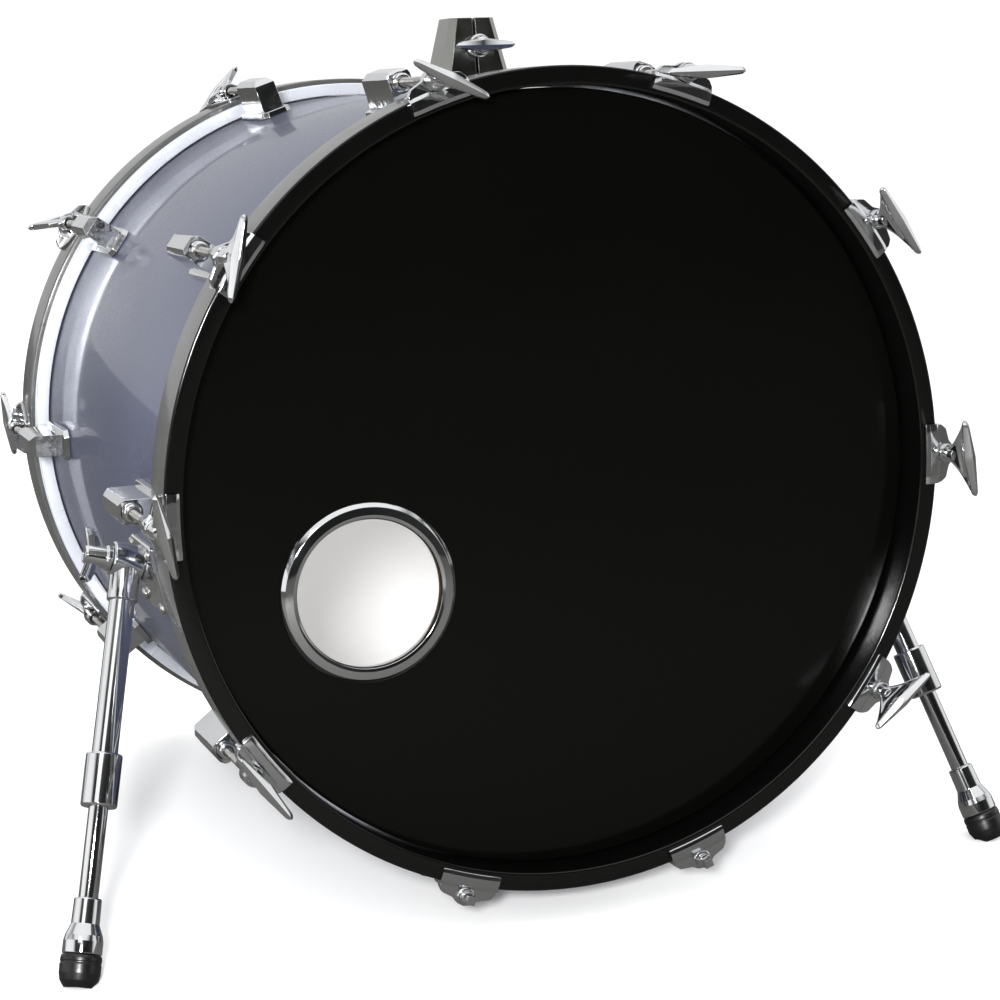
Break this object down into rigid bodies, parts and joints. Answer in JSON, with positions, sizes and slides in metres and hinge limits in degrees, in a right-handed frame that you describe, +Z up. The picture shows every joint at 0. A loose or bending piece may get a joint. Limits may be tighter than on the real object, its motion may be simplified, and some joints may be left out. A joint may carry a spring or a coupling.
{
  "type": "bass drum",
  "caption": "Bass drum on two folding spurs: lacquered hoops with claw hooks, T-handle tension rods, box lugs, a ported front head and a tom-post receiver on top.",
  "frame": {"origin": "on the floor under the middle of the drum's bounding box", "axes": "+X to the drum's right seen from the front, +Y from the front head to the rear head, +Z up; the drum's axis rises 2.99 degrees to the front"},
  "size_m": [0.7568, 0.6674, 0.6484],
  "materials": {
    "wrap": "glossy blue-silver wrap with a fine pearl grain",
    "black_lacquer": "high-gloss black lacquer on the wood hoops, with chromed claws",
    "black_film": "glossy black polyester film",
    "coated_film": "matt white coated film in a bright aluminium flesh hoop",
    "chrome": "polished chrome",
    "dark_chrome": "darker polished chrome",
    "rubber": "black moulded rubber"
  },
  "bodies": {
    "drum": {"shell": "wrap", "hoop_front": "black_lacquer", "hoop_rear": "black_lacquer", "head_front": "black_film", "head_rear": "coated_film", "port_ring": "chrome", "lug_front_01": "chrome", "lug_front_02": "chrome", "lug_front_03": "chrome", "lug_front_04": "chrome", "lug_front_05": "chrome", "lug_front_06": "chrome", "lug_front_07": "chrome", "lug_front_08": "chrome", "lug_front_09": "chrome", "lug_front_10": "chrome", "lug_rear_01": "chrome", "lug_rear_02": "chrome", "lug_rear_03": "chrome", "lug_rear_04": "chrome", "lug_rear_05": "chrome", "lug_rear_06": "chrome", "lug_rear_07": "chrome", "lug_rear_08": "chrome", "lug_rear_09": "chrome", "lug_rear_10": "chrome", "mount_base": "chrome", "mount_tower": "dark_chrome", "spur_bracket_right": "chrome", "spur_bracket_left": "chrome"},
    "leg_right": {"spur_tube_right": "chrome"},
    "leg_rod_right": {"spur_rod_right": "chrome", "spur_foot_right": "rubber"},
    "wing_nut_right": {"spur_wing_nut_right": "chrome"},
    "leg_left": {"spur_tube_left": "chrome"},
    "leg_rod_left": {"spur_rod_left": "chrome", "spur_foot_left": "rubber"},
    "wing_nut_left": {"spur_wing_nut_left": "chrome"},
    "mount_wing": {"mount_wing_bolt": "chrome"},
    "rod_front_01": {"tension_rod_front_01": "chrome"},
    "rod_front_02": {"tension_rod_front_02": "chrome"},
    "rod_front_03": {"tension_rod_front_03": "chrome"},
    "rod_front_04": {"tension_rod_front_04": "chrome"},
    "rod_front_05": {"tension_rod_front_05": "chrome"},
    "rod_front_06": {"tension_rod_front_06": "chrome"},
    "rod_front_07": {"tension_rod_front_07": "chrome"},
    "rod_front_08": {"tension_rod_front_08": "chrome"},
    "rod_front_09": {"tension_rod_front_09": "chrome"},
    "rod_front_10": {"tension_rod_front_10": "chrome"},
    "rod_rear_01": {"tension_rod_rear_01": "chrome"},
    "rod_rear_02": {"tension_rod_rear_02": "chrome"},
    "rod_rear_03": {"tension_rod_rear_03": "chrome"},
    "rod_rear_04": {"tension_rod_rear_04": "chrome"},
    "rod_rear_05": {"tension_rod_rear_05": "chrome"},
    "rod_rear_06": {"tension_rod_rear_06": "chrome"},
    "rod_rear_07": {"tension_rod_rear_07": "chrome"},
    "rod_rear_08": {"tension_rod_rear_08": "chrome"},
    "rod_rear_09": {"tension_rod_rear_09": "chrome"},
    "rod_rear_10": {"tension_rod_rear_10": "chrome"}
  },
  "joints": [
    {"name": "leg_fold_right", "type": "hinge", "parent": "drum", "child": "leg_right", "pos_m": [0.292, -0.1372, 0.26716], "axis": [0.9649, 0.0137, 0.2624], "range_deg": [0, 111]},
    {"name": "leg_slide_right", "type": "slide", "parent": "leg_right", "child": "leg_rod_right", "axis": [0.2441, -0.4163, -0.8758], "range_m": [-0.058, 0.05]},
    {"name": "leg_wing_right", "type": "hinge", "parent": "drum", "child": "wing_nut_right", "pos_m": [0.292, -0.1372, 0.26716], "axis": [0.9649, 0.0137, 0.2624], "continuous": true},
    {"name": "leg_fold_left", "type": "hinge", "parent": "drum", "child": "leg_left", "pos_m": [-0.292, -0.1372, 0.26716], "axis": [0.9649, -0.0137, -0.2624], "range_deg": [0, 111]},
    {"name": "leg_slide_left", "type": "slide", "parent": "leg_left", "child": "leg_rod_left", "axis": [-0.2441, -0.4163, -0.8758], "range_m": [-0.058, 0.05]},
    {"name": "leg_wing_left", "type": "hinge", "parent": "drum", "child": "wing_nut_left", "pos_m": [-0.292, -0.1372, 0.26716], "axis": [-0.9649, 0.0137, 0.2624], "continuous": true},
    {"name": "mount_wing", "type": "hinge", "parent": "drum", "child": "mount_wing", "pos_m": [0, -0.10036, 0.62773], "axis": [0, 0.9986, -0.0521], "continuous": true},
    {"name": "tension_front_01", "type": "hinge", "parent": "drum", "child": "rod_front_01", "pos_m": [0.09332, -0.26948, 0.61074], "axis": [0, 0.9986, -0.0521], "continuous": true},
    {"name": "tension_front_02", "type": "hinge", "parent": "drum", "child": "rod_front_02", "pos_m": [0.24432, -0.2752, 0.50118], "axis": [0, 0.9986, -0.0521], "continuous": true},
    {"name": "tension_front_03", "type": "hinge", "parent": "drum", "child": "rod_front_03", "pos_m": [0.302, -0.28445, 0.32391], "axis": [0, 0.9986, -0.0521], "continuous": true},
    {"name": "tension_front_04", "type": "hinge", "parent": "drum", "child": "rod_front_04", "pos_m": [0.24432, -0.2937, 0.14664], "axis": [0, 0.9986, -0.0521], "continuous": true},
    {"name": "tension_front_05", "type": "hinge", "parent": "drum", "child": "rod_front_05", "pos_m": [0.09332, -0.29942, 0.03708], "axis": [0, 0.9986, -0.0521], "continuous": true},
    {"name": "tension_front_06", "type": "hinge", "parent": "drum", "child": "rod_front_06", "pos_m": [-0.09332, -0.29942, 0.03708], "axis": [0, 0.9986, -0.0521], "continuous": true},
    {"name": "tension_front_07", "type": "hinge", "parent": "drum", "child": "rod_front_07", "pos_m": [-0.24432, -0.2937, 0.14664], "axis": [0, 0.9986, -0.0521], "continuous": true},
    {"name": "tension_front_08", "type": "hinge", "parent": "drum", "child": "rod_front_08", "pos_m": [-0.302, -0.28445, 0.32391], "axis": [0, 0.9986, -0.0521], "continuous": true},
    {"name": "tension_front_09", "type": "hinge", "parent": "drum", "child": "rod_front_09", "pos_m": [-0.24432, -0.2752, 0.50118], "axis": [0, 0.9986, -0.0521], "continuous": true},
    {"name": "tension_front_10", "type": "hinge", "parent": "drum", "child": "rod_front_10", "pos_m": [-0.09332, -0.26948, 0.61074], "axis": [0, 0.9986, -0.0521], "continuous": true},
    {"name": "tension_rear_01", "type": "hinge", "parent": "drum", "child": "rod_rear_01", "pos_m": [0.09332, 0.29375, 0.58135], "axis": [0, 0.9986, -0.0521], "continuous": true},
    {"name": "tension_rear_02", "type": "hinge", "parent": "drum", "child": "rod_rear_02", "pos_m": [0.24432, 0.28804, 0.47179], "axis": [0, 0.9986, -0.0521], "continuous": true},
    {"name": "tension_rear_03", "type": "hinge", "parent": "drum", "child": "rod_rear_03", "pos_m": [0.302, 0.27879, 0.29452], "axis": [0, 0.9986, -0.0521], "continuous": true},
    {"name": "tension_rear_04", "type": "hinge", "parent": "drum", "child": "rod_rear_04", "pos_m": [0.24432, 0.26954, 0.11725], "axis": [0, 0.9986, -0.0521], "continuous": true},
    {"name": "tension_rear_05", "type": "hinge", "parent": "drum", "child": "rod_rear_05", "pos_m": [0.09332, 0.26382, 0.00769], "axis": [0, 0.9986, -0.0521], "continuous": true},
    {"name": "tension_rear_06", "type": "hinge", "parent": "drum", "child": "rod_rear_06", "pos_m": [-0.09332, 0.26382, 0.00769], "axis": [0, 0.9986, -0.0521], "continuous": true},
    {"name": "tension_rear_07", "type": "hinge", "parent": "drum", "child": "rod_rear_07", "pos_m": [-0.24432, 0.26954, 0.11725], "axis": [0, 0.9986, -0.0521], "continuous": true},
    {"name": "tension_rear_08", "type": "hinge", "parent": "drum", "child": "rod_rear_08", "pos_m": [-0.302, 0.27879, 0.29452], "axis": [0, 0.9986, -0.0521], "continuous": true},
    {"name": "tension_rear_09", "type": "hinge", "parent": "drum", "child": "rod_rear_09", "pos_m": [-0.24432, 0.28804, 0.47179], "axis": [0, 0.9986, -0.0521], "continuous": true},
    {"name": "tension_rear_10", "type": "hinge", "parent": "drum", "child": "rod_rear_10", "pos_m": [-0.09332, 0.29375, 0.58135], "axis": [0, 0.9986, -0.0521], "continuous": true}
  ]
}
